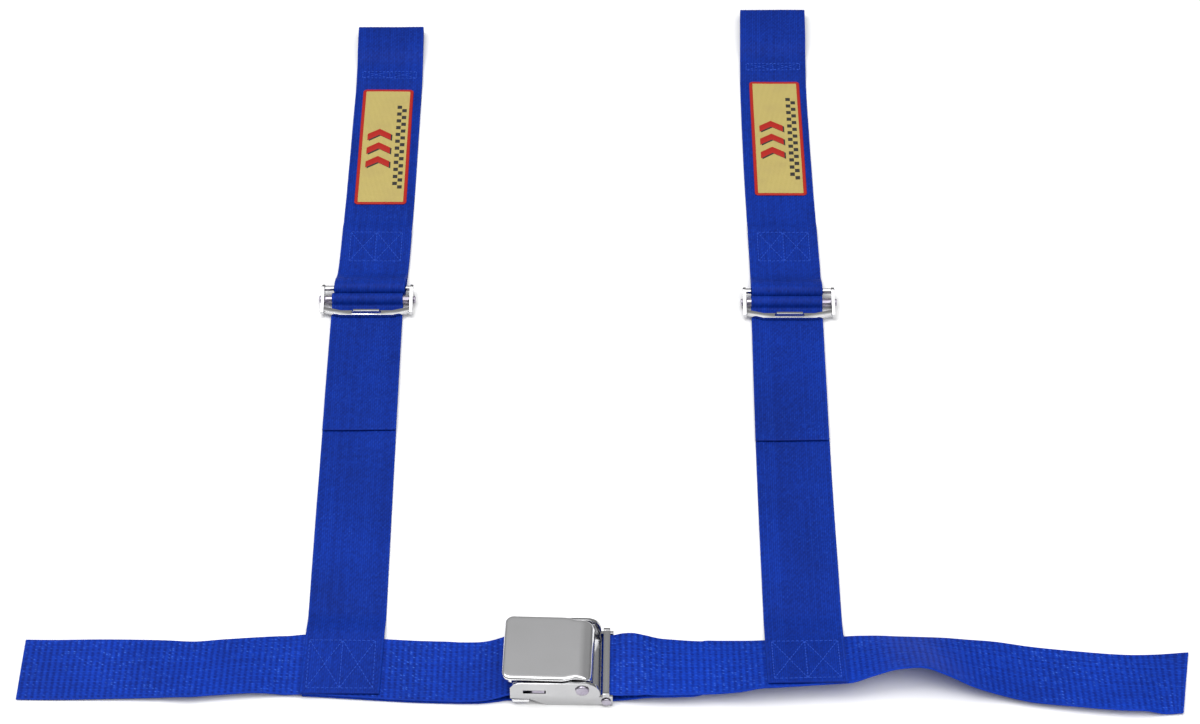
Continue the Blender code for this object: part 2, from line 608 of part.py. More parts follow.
def latch_hook(body, frame, steel):
    """The catch under the cover: a flange against its underside and a blade through the tongue."""
    under = COVER_TOP - COVER_WALL - GAP
    outline = [(1.5 * MM, under), (1.5 * MM, 4.0 * MM), (2.4 * MM, 2.5 * MM), (4.0 * MM, 2.5 * MM),
               (4.5 * MM, 3.2 * MM), (4.5 * MM, under - 2.6 * MM), (5.6 * MM, under - 1.5 * MM),
               (14 * MM, under - 1.5 * MM), (14 * MM, under)]
    mesh_object("latch_hook", prism("latch_hook", outline, "Y", -8 * MM, 8 * MM), body, steel, frame)


def tongue(body, frame, chrome):
    """The plate that enters the buckle, with its latch window, head and round webbing bar."""
    low, high = 2.7 * MM, 5.1 * MM
    half = [(13, 17), (11, 22), (3, 24.6), (-13, 24.6), (-13.1, 28), (-23.4, 28), (-24.2, 27.2),
            (-24.2, 25.6), (-17.2, 25.6)]
    outline = millimetres(half + [(x, -y) for x, y in reversed(half)])
    plate = mesh_object("tongue", prism("tongue", outline, "Z", low, high), body, chrome, frame)
    reach = 26.8 * MM
    bar = turned("bar", [(-reach, TONGUE_BAR_R), (reach, TONGUE_BAR_R)], TONGUE_BAR, "Y", 16)
    boolean(plate, bar, body, "UNION", frame)
    window = box("window", (0.7 * MM, -10 * MM, 0.0), (7.6 * MM, 10 * MM, 9 * MM))
    boolean(plate, window, body, "DIFFERENCE", frame)


def build():
    clear_scene()
    chrome = material("chrome", (0.72, 0.72, 0.73), 0.12, 1.0)
    steel = material("plated_steel", (0.60, 0.60, 0.62), 0.3, 1.0)
    blue = material("blue_webbing", (0.010, 0.042, 0.38), 0.75)
    thread = material("blue_thread", (0.016, 0.058, 0.45), 0.65)
    patch = material("label_cloth", (0.58, 0.46, 0.12), 0.7)

    buckle = empty("buckle_body", (0, 0, 0), yaw=BUCKLE_YAW)
    lever = empty("lever_axis", PIN, buckle)
    slider = empty("tongue_axis", TONGUE_BAR, buckle)
    laps = {
        "left": empty("lap_left_axis", (0, 0, 0), slider),
        "right": empty("lap_right_axis", WEB_BAR, buckle),
    }

    buckle_frame(buckle, chrome)
    headed_pin("pivot_pin", PIN, PIN_R, 4.4 * MM, 1.5 * MM, buckle, steel)
    headed_pin("webbing_bar", WEB_BAR, BAR_R, 3.2 * MM, 1.3 * MM, buckle, steel)
    tongue_guide(buckle, steel)
    lever_spring(buckle, steel)
    lever_cover(lever, buckle, chrome)
    latch_hook(lever, buckle, steel)
    tongue(slider, buckle, chrome)

    webbing("lap_webbing_left", left_belt_route(), laps["left"], blue)
    webbing("lap_webbing_right", right_belt_route(), laps["right"], blue, end_skew=5 * MM)
    for which, side in SIDES.items():
        x = side["adjuster_x"] * MM
        y = side["adjuster_y"] * MM
        bar_axis = empty(f"slide_bar_axis_{which}", (x, y, SLIDE_BAR_Z))
        frame_axis = empty(f"adjuster_axis_{which}", (0, 0, 0), bar_axis)
        loop_axis = empty(f"loop_axis_{which}", (x, y + LOOP_AXIS[0], LOOP_AXIS[1]))
        webbing(f"lower_strap_{which}", lower_strap_route(side), laps[which], blue)
        webbing(f"upper_strap_{which}", upper_strap_route(side), loop_axis, blue)
        adjuster(which, side, frame_axis, bar_axis, chrome, steel)
        seams(which, side, laps[which], loop_axis, thread)
        label(which, side, loop_axis, patch)


build()
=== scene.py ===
"""Looks of the racing harness: woven webbing, sewn seams, cloth labels and polished hardware.

Metres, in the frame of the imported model. +X runs along the lap belt, +Y along the shoulder straps.
"""
import math

import bmesh
import bpy
import numpy as np
from mathutils import Matrix, Vector, noise


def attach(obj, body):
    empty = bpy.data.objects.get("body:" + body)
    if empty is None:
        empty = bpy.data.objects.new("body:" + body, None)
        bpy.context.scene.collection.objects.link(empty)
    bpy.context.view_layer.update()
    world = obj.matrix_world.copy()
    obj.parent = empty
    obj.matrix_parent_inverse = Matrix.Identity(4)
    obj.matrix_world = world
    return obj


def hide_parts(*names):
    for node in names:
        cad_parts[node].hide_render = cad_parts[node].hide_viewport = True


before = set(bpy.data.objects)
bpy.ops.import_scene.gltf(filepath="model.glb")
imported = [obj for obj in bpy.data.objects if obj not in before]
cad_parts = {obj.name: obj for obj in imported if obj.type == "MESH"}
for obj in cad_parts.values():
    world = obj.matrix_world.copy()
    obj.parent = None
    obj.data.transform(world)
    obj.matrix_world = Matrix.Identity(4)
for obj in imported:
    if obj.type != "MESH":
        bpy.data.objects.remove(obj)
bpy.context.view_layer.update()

MM = 0.001
GAP = 0.3 * MM

# Webbing, as in the CAD part
WEB_WIDTH = 50 * MM
STRAP_WIDTH = 51.6 * MM
WEB_THICK = 1.4 * MM
LAYER = WEB_THICK + GAP
FLOOR_Z = WEB_THICK / 2
SECOND_Z = FLOOR_Z + LAYER

# Weave: bundles of warp run along the webbing, over one pick of weft and under the next
BUNDLE = 1.4 * MM
PICK = 1.95 * MM
RELIEF = 0.11 * MM
LAP_RIBS = 0.85  # height of the lap belt's crosswise ribs, as a share of RELIEF
SELVEDGE = 0.9 * MM

# Buckle and adjusters, as in the CAD part
BUCKLE_YAW = math.radians(-0.8)
PIN = Vector((21 * MM, 0, 15.2 * MM))
PIN_R = 2.5 * MM
WEB_BAR = Vector((36.5 * MM, 0, 4.0 * MM))
TONGUE_BAR = Vector((-21.5 * MM, 0, 3.7 * MM))
BAR_R = 2 * MM
TONGUE_BAR_R = 1.7 * MM
BAR_CLEARANCE = GAP + WEB_THICK / 2
COVER_TOP = 24.2 * MM
COVER_SKIRT = 17.5 * MM
COVER_WALL = 1.5 * MM
COVER_HALF = (28.2 * MM, 24.4 * MM)
COVER_BEND = (17.5 * MM, 11.4 * MM, 8.5 * MM)  # where the rear roll starts, its length and its drop
COVER_POINTS = (60, 44)
COVER_FLARE = (2.0 * MM, 8 * MM, 17 * MM)  # how far its rim stands out, and where that fades away
COVER_PLAY = math.radians(-1.2)
COVER_BORE = PIN_R + 0.65 * MM  # wide enough for the cover's turn on its pin
SEAM_RISE = 0.14 * MM
LABEL = (38 * MM, 132 * MM)
RETURN_SHIFT = 2.6  # mm that the right belt's return lies behind its upper layer
SLIDE_BAR_Z = 4.7 * MM
LOOP_AXIS = (11.0 * MM, 5.4 * MM)
LOOP_R = LOOP_AXIS[1] - FLOOR_Z - 0.1 * MM
SLIDE_WRAP_R = SLIDE_BAR_Z - FLOOR_Z

SIDES = {
    "left": {"joint_x": -136, "joint_y": 1.8, "joint_roll": 0, "joint_rise": 0,
             "adjuster_x": -137, "adjuster_y": 343.5, "tail_y": 214,
             "lower_x": [(-40, -136), (40, -134.6), (202, -136), (322, -136.8), (420, -137)],
             "upper_x": [(340, -136.2), (385, -134.2), (451, -133.4), (591, -133), (670, -134.6)],
             "label_y": (450, 582), "label_x": -133.2, "top_y": 655},
    "right": {"joint_x": 165.5, "joint_y": 0.1, "joint_roll": 14, "joint_rise": 0.018,
              "adjuster_x": 169, "adjuster_y": 340.5, "tail_y": 204,
              "lower_x": [(-40, 165.5), (40, 165.5), (202, 165.8), (322, 167.4), (420, 168)],
              "upper_x": [(340, 168), (385, 168), (451, 167.4), (520, 167), (591, 167.6), (690, 170.6)],
              "label_y": (460, 592), "label_x": 168.4, "top_y": 677},
}

# Each row of the belt: x, y, height of its lowest layer, roll in degrees, layers under it
LEFT_BELT = [
    (-344, 0.9, 0.7, 0, 0), (-318, 0.5, 0.7, 0, 0), (-280, 0.6, 0.7, 1.5, 0), (-252, 0.2, 0.7, 3, 0),
    (-234, -0.8, 0.7, 5, 0), (-215, 1.0, 0.7, 5, 0), (-196, 2.6, 0.7, 5, 0), (-178, 3.6, 0.7, 2.5, 0),
    (-172, 3.7, 0.7, 1.2, 0), (-160, 3.3, 0.7, 0, 1), (-136, 1.8, 0.7, 0, 1), (-110, 0.0, 0.7, 0, 1),
    (-85, -1.6, 0.7, 0, 1), (-68, -2.2, 0.7, 0, 1),
]
RIGHT_BELT = [
    (411, -10.4, 0.7, 0, 0), (397, -11.6, 0.7, 0, 0), (379, -12.3, 0.7, 5, 0), (335, -8.4, 0.7, 5, 0),
    (312, -5.0, 0.7, 4.5, 0), (290, -0.8, 0.7, 7, 0), (272, 1.3, 0.7, 13, 0), (255, 3.9, 0.7, 21.5, 0),
    (238, 5.6, 0.7, 27.5, 0), (222, 5.6, 0.7, 25.5, 0.1), (207, 4.0, 0.7, 19.5, 0.6),
    (192, 2.0, 0.7, 14, 1), (165.5, 0.1, 0.7, 14, 1), (139, -1.8, 0.7, 14, 1),
    (120, -2.4, 0.7, 10, 1), (104, -2.3, 0.7, 8, 1.1),
]

# The belt beside the buckle: x, y and z of its middle, and its roll
RIGHT_HUMP = [
    (90, -2.5, 6.6, 6.5), (80, -2.5, 7.0, 5), (70, -2.3, 7.4, 3.2), (61, -1.9, 8.9, 0.5),
    (53, -1.4, 9.1, -3), (47, -1.0, 8.3, -3), (41.5, -0.6, 7.1, -0.5),
]
RIGHT_RETURN = [
    (41, -0.6, 1.5, -0.5), (47, -1.0, 3.4, -2.5), (53, -1.4, 5.0, -3), (61, -1.9, 5.5, 0.5),
    (70, -2.3, 5.4, 3.2), (80, -2.5, 5.1, 5), (90, -2.5, 4.75, 6.5),
]
LEFT_ENTRY = [
    (-58, -2.7, 2.5, 0.5), (-48, -2.7, 2.7, 0.8), (-40, -2.0, 3.3, 0.8), (-33, -0.8, 4.6, 0.3),
    (-27.5, 0.2, 5.9, 0),
]
LEFT_RETURN = [(-28, 0.2, 0.85, 0), (-34, -0.8, 0.7, 0), (-42, -2.0, 0.7, 0), (-58, -2.4, 0.7, 0)]


# ---- Materials ----------------------------------------------------------------------------------


class Shading:
    """A node tree under construction, with short calls for the nodes used here."""

    def __init__(self, name, **sockets):
        self.material = bpy.data.materials.new(name)
        self.material.use_nodes = True
        self.tree = self.material.node_tree
        self.shader = self.tree.nodes["Principled BSDF"]
        for socket, value in sockets.items():
            self.shader.inputs[socket.replace("_", " ")].default_value = value

    def node(self, kind, inputs=(), **settings):
        made = self.tree.nodes.new("ShaderNode" + kind)
        for key, value in settings.items():
            setattr(made, key, value)
        for key, value in dict(inputs).items():
            self.put(value, made.inputs[key])
        return made

    def put(self, value, socket):
        """Links an output to the socket, or sets the socket's own value."""
        if isinstance(value, bpy.types.NodeSocket):
            self.tree.links.new(value, socket)
        else:
            socket.default_value = value

    def to_shader(self, socket, value):
        self.put(value, self.shader.inputs[socket])

    def math(self, operation, a, b=0.0, c=0.0):
        return self.node("Math", {0: a, 1: b, 2: c}, operation=operation).outputs[0]

    def attribute(self, name):
        return self.node("Attribute", attribute_name=name).outputs["Fac"]

    def place(self, scale=(1, 1, 1), turn=(0, 0, 0)):
        """The object's own coordinates, in metres, scaled and turned."""
        where = self.node("TexCoord").outputs["Object"]
        return self.node("Mapping", {"Vector": where, "Scale": scale, "Rotation": turn}).outputs[0]

    def noise(self, scale, detail=3.0, where=None, roughness=0.5):
        where = where or self.place()
        made = self.node("TexNoise", {"Vector": where, "Scale": scale, "Detail": detail,
                                      "Roughness": roughness})
        return made.outputs["Fac"]

    def ramp(self, fac, stops):
        made = self.node("ValToRGB", {"Fac": fac})
        ramp = made.color_ramp
        while len(ramp.elements) < len(stops):
            ramp.elements.new(0.5)
        for element, (at, colour) in zip(ramp.elements, stops):
            element.position = at
            shade = colour if isinstance(colour, tuple) else (colour, colour, colour)
            element.color = (*shade, 1)
        return made.outputs["Color"]

    def spread(self, value, low, high, out_low, out_high):
        made = self.node("MapRange", {"Value": value, "From Min": low, "From Max": high,
                                      "To Min": out_low, "To Max": out_high})
        return made.outputs[0]

    def blend(self, share, a, b, mode="MIX"):
        made = self.node("Mix", data_type="RGBA", blend_type=mode)
        sockets = [s for s in made.inputs if s.enabled]
        self.put(share, sockets[0])
        for socket, value in zip(sockets[1:], (a, b)):
            self.put((*value, 1) if isinstance(value, tuple) else value, socket)
        return [s for s in made.outputs if s.enabled][0]

    def bump(self, height, distance, strength=1.0, under=None):
        inputs = {"Height": height, "Distance": distance, "Strength": strength}
        if under is not None:
            inputs["Normal"] = under
        return self.node("Bump", inputs).outputs[0]


def webbing_material(name, depth, glint):
    """Filament webbing: crowns of warp with painted light over gaps darkened with painted shade, and single
    yarns with painted highlights.
    """
    s = Shading(name, Specular_IOR_Level=0.10)
    crown, along, across = (s.attribute(key) for key in ("crown", "along", "across"))
    # Painted shade and light: the colour follows the weave's height, darker in the low gaps and lighter on
    # the crowns.
    painted_relief_shade = [(0.0, (0.0018, 0.0200, 0.240)), (0.45, (0.0030, 0.0360, 0.385)), (1.0, (0.0062, 0.0560, 0.52))]
    base = s.ramp(crown, [(at, tuple(c * depth for c in colour)) for at, colour in painted_relief_shade])
    drift = s.spread(s.noise(16, 4), 0.3, 0.7, 0.86, 1.14)
    drift = s.math("MULTIPLY", drift, s.spread(s.noise(420, 1), 0.3, 0.7, 0.88, 1.12))
    base = s.blend(1.0, base, s.node("CombineColor", {0: drift, 1: drift, 2: drift}).outputs[0], "MULTIPLY")
    # Painted highlights: single crown yarns, in noisy patches, painted a pale blue as glints.
    glint_patch = s.spread(s.noise(26, 3), 0.42, 0.62, 0.15 * glint, glint)
    shine = s.math("MULTIPLY", glint_patch, s.attribute("painted_glint"))
    base = s.blend(shine, base, tuple(c * depth for c in (0.060, 0.190, 0.86)))
    s.to_shader("Base Color", base)
    grain = s.node("CombineXYZ", {0: s.math("MULTIPLY", across, 5.5), 1: s.math("MULTIPLY", along, 0.8)})
    fibre = s.noise(1.0, 2, where=grain.outputs[0], roughness=0.7)
    s.to_shader("Roughness", s.spread(fibre, 0.3, 0.7, 0.5, 0.72))
    s.to_shader("Normal", s.bump(fibre, 0.06 * MM, 0.7))
    return s.material


def thread_material(name, dark, light):
    """Sewing thread: two shades and a fine twist."""
    s = Shading(name, Specular_IOR_Level=0.25)
    twist = s.node("TexWave", {"Vector": s.place(), "Scale": 420.0, "Distortion": 2.0, "Detail": 2.0},
                   bands_direction="DIAGONAL").outputs["Fac"]
    s.to_shader("Base Color", s.blend(s.spread(twist, 0, 1, 0.15, 0.85), dark, light))
    s.to_shader("Roughness", s.spread(s.noise(700), 0.3, 0.7, 0.45, 0.65))
    s.to_shader("Normal", s.bump(twist, 0.08 * MM, 0.6))
    return s.material


def cloth_material():
    """The label's ground: a tight woven cloth with uneven yarns and light soiling."""
    s = Shading("label_cloth", Sheen_Weight=0.15, Specular_IOR_Level=0.3)
    where = s.place()
    across = s.node("TexWave", {"Vector": where, "Scale": 330.0, "Distortion": 0.6, "Detail": 1.0},
                    bands_direction="X").outputs["Fac"]
    along = s.node("TexWave", {"Vector": where, "Scale": 250.0, "Distortion": 0.6, "Detail": 1.0},
                   bands_direction="Y").outputs["Fac"]
    weave = s.math("MAXIMUM", across, along)
    ground = s.blend(s.spread(weave, 0.1, 1, 0, 1), (0.31, 0.24, 0.058), (0.51, 0.415, 0.135))
    soiled = s.spread(s.noise(60, 4), 0.45, 0.8, 0, 0.35)
    s.to_shader("Base Color", s.blend(soiled, ground, (0.34, 0.255, 0.10)))
    s.to_shader("Roughness", s.spread(s.noise(500), 0.3, 0.7, 0.62, 0.8))
    s.to_shader("Normal", s.bump(weave, 0.12 * MM, 0.8))
    return s.material


PLATE_SHADES = ((0.80, 0.80, 0.81), (0.72, 0.72, 0.735))


def chrome_material(name, depth):
    """Bright plate on pressed steel: soft smudges, a faint ripple and hairline scratches."""
    s = Shading(name, Metallic=1.0)
    smudge = s.noise(38, 5, roughness=0.6)
    s.to_shader("Base Color", s.blend(s.spread(smudge, 0.35, 0.7, 0, 1),
                                       *[tuple(c * depth for c in shade) for shade in PLATE_SHADES]))
    scratches = s.noise(60, 8, where=s.place((60, 2.2, 60), (0, 0, 0.5)), roughness=0.75)
    hairline = s.spread(scratches, 0.62, 0.70, 0, 1)
    gloss = s.math("ADD", s.spread(smudge, 0.3, 0.75, 0.10, 0.20), s.math("MULTIPLY", hairline, 0.10))
    s.to_shader("Roughness", gloss)
    ripple = s.bump(s.noise(30, 2), 0.12 * MM, 0.35)
    s.to_shader("Normal", s.bump(hairline, 0.01 * MM, 0.3, under=ripple))
    return s.material


def steel_material():
    """Zinc-plated steel of the small parts: duller, with a fine drawn grain and a faint violet cast."""
    s = Shading("plated_steel", Metallic=1.0)
    tint = s.noise(120, 4)
    shade = s.spread(tint, 0.3, 0.7, 0, 1)
    s.to_shader("Base Color", s.blend(shade, (0.33, 0.29, 0.37), (0.47, 0.45, 0.51)))
    drawn = s.noise(1, 4, where=s.place((160, 2600, 2600)))
    s.to_shader("Roughness", s.spread(drawn, 0.3, 0.7, 0.24, 0.38))
    s.to_shader("Normal", s.bump(drawn, 0.02 * MM, 0.5))
    return s.material


def floor_material():
    s = Shading("studio_floor", Roughness=0.75, Specular_IOR_Level=0.2)
    s.to_shader("Base Color", s.ramp(s.noise(3, 3), [(0.3, 0.90), (0.7, 0.93)]))
    return s.material


# ---- Meshes -------------------------------------------------------------------------------------


def add_object(name, mesh, material, body, replaces=()):
    """A finished piece: it rides on a body, takes a slot's finish and may stand for CAD nodes."""
    piece = bpy.data.objects.new(name, mesh)
    mesh.materials.append(material)
    bpy.context.scene.collection.objects.link(piece)
    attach(piece, body)
    if replaces:
        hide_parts(*replaces)
    return piece


def grid_mesh(name, points, wrap=True, caps=True):
    """A mesh from rings of points, an array of (ring, point, 3). Each ring closes on itself."""
    rings, count = points.shape[:2]
    index = np.arange(rings * count).reshape(rings, count)
    following = np.roll(index, -1, axis=1) if wrap else index[:, 1:]
    here = index if wrap else index[:, :-1]
    quads = np.stack([here[:-1], following[:-1], following[1:], here[1:]], axis=-1).reshape(-1, 4)
    faces = quads.tolist()
    if caps:
        faces += [index[0, ::-1].tolist(), index[-1].tolist()]
    mesh = bpy.data.meshes.new(name)
    mesh.from_pydata(points.reshape(-1, 3).tolist(), [], faces)
    mesh.validate()
    mesh.shade_smooth()
    return mesh


def outward(mesh):
    """Turns a closed mesh's faces to point out."""
    bm = bmesh.new()
    bm.from_mesh(mesh)
    bmesh.ops.recalc_face_normals(bm, faces=bm.faces)
    bm.to_mesh(mesh)
    bm.free()
    return mesh


def arc(u, w, radius, start, end, count):
    """Points on an arc about (u, w), with its angles in degrees."""
    turns = [math.radians(start + (end - start) * k / count) for k in range(count + 1)]
    return [(u + radius * math.cos(t), w + radius * math.sin(t)) for t in turns]


def millimetres(points):
    return [tuple(value * MM for value in point) for point in points]


# ---- Routes of the webbing ----------------------------------------------------------------------


def between(table, at):
    """Straight-line value of a table of (place, value) pairs."""
    for (a, first), (b, second) in zip(table, table[1:]):
        if at <= b:
            break
    share = min(max((at - a) / (b - a), 0), 1)
    return first + (second - first) * share


def round_bar(bar, radius, start, end):
    """Stations of the lap belt round one of the buckle's bars, from one angle to another."""
    turn = Matrix.Rotation(BUCKLE_YAW, 3, "Z")
    wrap = arc(bar.x, bar.z, radius + BAR_CLEARANCE, start, end, 8)
    return [(turn @ Vector((x, 0, z)), turn @ Vector((0, 1, 0))) for x, z in wrap]


def by_buckle(rows):
    """Stations of the lap belt beside the buckle, from rows of x, y, z and roll."""
    stations = []
    for x, y, z, roll in rows:
        lean = math.radians(roll)
        stations.append((Vector((x, y, z)) * MM, Vector((0, math.cos(lean), -math.sin(lean)))))
    return stations


def belt_station(x, y, z, roll=0.0):
    """A station of the lap belt in mm. With roll, in degrees, the edge at -Y rises, +Y stays low."""
    lean = math.radians(roll)
    lift = WEB_WIDTH / 2 * math.sin(abs(lean))
    return Vector((x * MM, y * MM, z * MM + lift)), Vector((0, math.cos(lean), -math.sin(lean)))


def on_plane(place, roll, layers):
    """The station lifted by whole layers, square to the belt's own plane."""
    middle, across = place
    lean = math.radians(roll)
    return middle + Vector((0, math.sin(lean), math.cos(lean))) * layers * LAYER, across


def left_belt_route():
    """Free end, over the return layer, round the tongue's bar and back to the joint underneath."""
    out = [on_plane(belt_station(x, y, z, roll), roll, layers) for x, y, z, roll, layers in LEFT_BELT]
    out += by_buckle(LEFT_ENTRY) + round_bar(TONGUE_BAR, TONGUE_BAR_R, 90, -90) + by_buckle(LEFT_RETURN)
    back = [row for row in reversed(LEFT_BELT) if -162 < row[0] < -60]
    return out + [belt_station(x, y, z, roll) for x, y, z, roll, _ in back]


def right_belt_route():
    """Free end, over the return layer, up into the slack hump and round the buckle's bar."""
    out = [on_plane(belt_station(x, y, z, roll), roll, layers) for x, y, z, roll, layers in RIGHT_BELT]
    out += by_buckle(RIGHT_HUMP) + round_bar(WEB_BAR, BAR_R, 90, 270) + by_buckle(RIGHT_RETURN)
    back = [row for row in reversed(RIGHT_BELT) if 100 < row[0] < 193]
    return out + [belt_station(x, y + RETURN_SHIFT, z, roll) for x, y, z, roll, _ in back]


def lower_strap_route(side):
    """From the joint on the lap belt, round the adjuster's slide bar, and back on top as the tail."""
    lean = math.radians(side["joint_roll"])
    middle, _ = on_plane(belt_station(0, side["joint_y"], 0.7, side["joint_roll"]), side["joint_roll"], 2)
    bar_y = side["adjuster_y"]
    run = []
    for along in (-24, -8, 8, 24, 27):
        run.append((middle.y + along * MM * math.cos(lean), middle.z - along * MM * math.sin(lean)))
    end_y, end_z = run[-1]
    run += [(end_y + 4 * MM, end_z - 0.5 * MM), (end_y + 9 * MM, (end_z + FLOOR_Z) / 2),
            (end_y + 15 * MM, FLOOR_Z + 0.4 * MM)]
    run += millimetres([(y, 0.7) for y in (52, 70, 150, 250, bar_y - 27)])
    run += arc(bar_y * MM, SLIDE_BAR_Z, SLIDE_WRAP_R, -90, 180, 14)
    bend = 2.3 * MM
    run += arc(bar_y * MM - SLIDE_WRAP_R - bend, SLIDE_BAR_Z, bend, 0, -90, 4)[1:]
    run += [(y * MM, SECOND_Z) for y in (bar_y - 15, bar_y - 29, 270, side["tail_y"])]
    stations = []
    for k, (y, z) in enumerate(run):
        across = Vector((1, 0, side["joint_rise"] if k < 6 else 0))
        stations.append((Vector((between(side["lower_x"], y / MM) * MM, y, z)), across))
    return stations


def upper_strap_route(side):
    """From its end under the adjuster seam, round the rear bar, up the label, and round the top."""
    top, label_top, bar_y = side["top_y"], side["label_y"][1], side["adjuster_y"]
    run = millimetres([(419, 0.7), (398, 0.7), (bar_y + 30, 0.7), (bar_y + 18, 0.7)])
    run += arc(bar_y * MM + LOOP_AXIS[0], LOOP_AXIS[1], LOOP_R, 270, 90, 12)
    run += millimetres([(bar_y + 17, 8.6), (bar_y + 23, 5.2), (bar_y + 29, 2.9), (bar_y + 36, 2.4)])
    run += millimetres([(402, 2.4), (421, 2.4), (430, 0.75)])
    run += millimetres([(440, 0.7), (500, 0.7), (label_top - 8, 0.7), (label_top + 1, 0.8)])
    run += millimetres([(label_top + 11, 2.35), (label_top + 24, 2.4), (label_top + 31, 3.2)])
    run += millimetres([(label_top + 43, 6.7), (label_top + 55, 7.9)])
    eye = 3.6
    run += arc((top - eye - 0.7) * MM, FLOOR_Z + (eye + 0.1) * MM, eye * MM, 90, -90, 8)
    run += millimetres([(top - 20, 0.7), (label_top + 30, 0.7), (label_top + 14, 0.7)])
    across = Vector((1, 0, 0))
    return [(Vector((between(side["upper_x"], y / MM) * MM, y, z)), across) for y, z in run]


def smooth_run(stations, step):
    """A smooth curve through the stations, with a point about every step."""
    gaps = [max((b[0] - a[0]).length, 1e-6) for a, b in zip(stations, stations[1:])]
    count = len(stations)

    def slope(i, part):
        """The way the curve heads at a station, level in any direction that turns back there."""
        if i == 0:
            return (stations[1][part] - stations[0][part]) / gaps[0]
        if i == count - 1:
            return (stations[-1][part] - stations[-2][part]) / gaps[-1]
        before, after = gaps[i - 1], gaps[i]
        left = (stations[i][part] - stations[i - 1][part]) / before
        right = (stations[i + 1][part] - stations[i][part]) / after
        mixed = (left * after + right * before) / (before + after)
        return Vector([m if l * r > 0 else 0 for m, l, r in zip(mixed, left, right)])

    run = []
    for i, gap in enumerate(gaps):
        pieces = max(1, math.ceil(gap / step - 0.01))
        for k in range(pieces + (i == count - 2)):
            t = k / pieces
            values = []
            for part in (0, 1):
                p, q = stations[i][part], stations[i + 1][part]
                m, n = slope(i, part) * gap, slope(i + 1, part) * gap
                values.append(
                    p * (2 * t**3 - 3 * t**2 + 1) + m * (t**3 - 2 * t**2 + t)
                    + q * (3 * t**2 - 2 * t**3) + n * (t**3 - t**2)
                )
            run.append(values)
    return run


# ---- Webbing ------------------------------------------------------------------------------------


def lie(points):
    """How far the cloth stands off the floor at each point: gentle waves that die out at the hardware."""
    x, y = points[..., 0] / MM, points[..., 1] / MM
    wave = (0.5 + 0.5 * np.sin(x / 27 + 1.3 * np.sin(y / 61))) * (0.5 + 0.5 * np.sin(y / 23 + x / 41))
    wave += 0.35 * (0.5 + 0.5 * np.sin(x / 11.3 + y / 9.1))
    anchors = [(0, 0, 105), (-137, 352, 48), (167.5, 352, 48)]
    calm = np.ones_like(x)
    for ax, ay, reach in anchors:
        calm = np.minimum(calm, np.clip((np.hypot(x - ax, y - ay) - reach) / 45, 0, 1))
    return wave * calm * 0.75 * MM


def even_run(stations):
    """Arrays of the middle line and of the across vectors, a half pick apart along the line."""
    fine = smooth_run(stations, 0.4 * MM)
    middles = np.array([tuple(p) for p, _ in fine])
    acrosses = np.array([tuple(a.normalized()) for _, a in fine])
    lengths = np.concatenate([[0], np.cumsum(np.linalg.norm(np.diff(middles, axis=0), axis=1))])
    count = int(round(lengths[-1] / (PICK / 2)))
    at = np.linspace(0, lengths[-1], count + 1)
    middle = np.stack([np.interp(at, lengths, middles[:, k]) for k in range(3)], axis=1)
    across = np.stack([np.interp(at, lengths, acrosses[:, k]) for k in range(3)], axis=1)
    return middle, across / np.linalg.norm(across, axis=1)[:, None], lengths[-1]


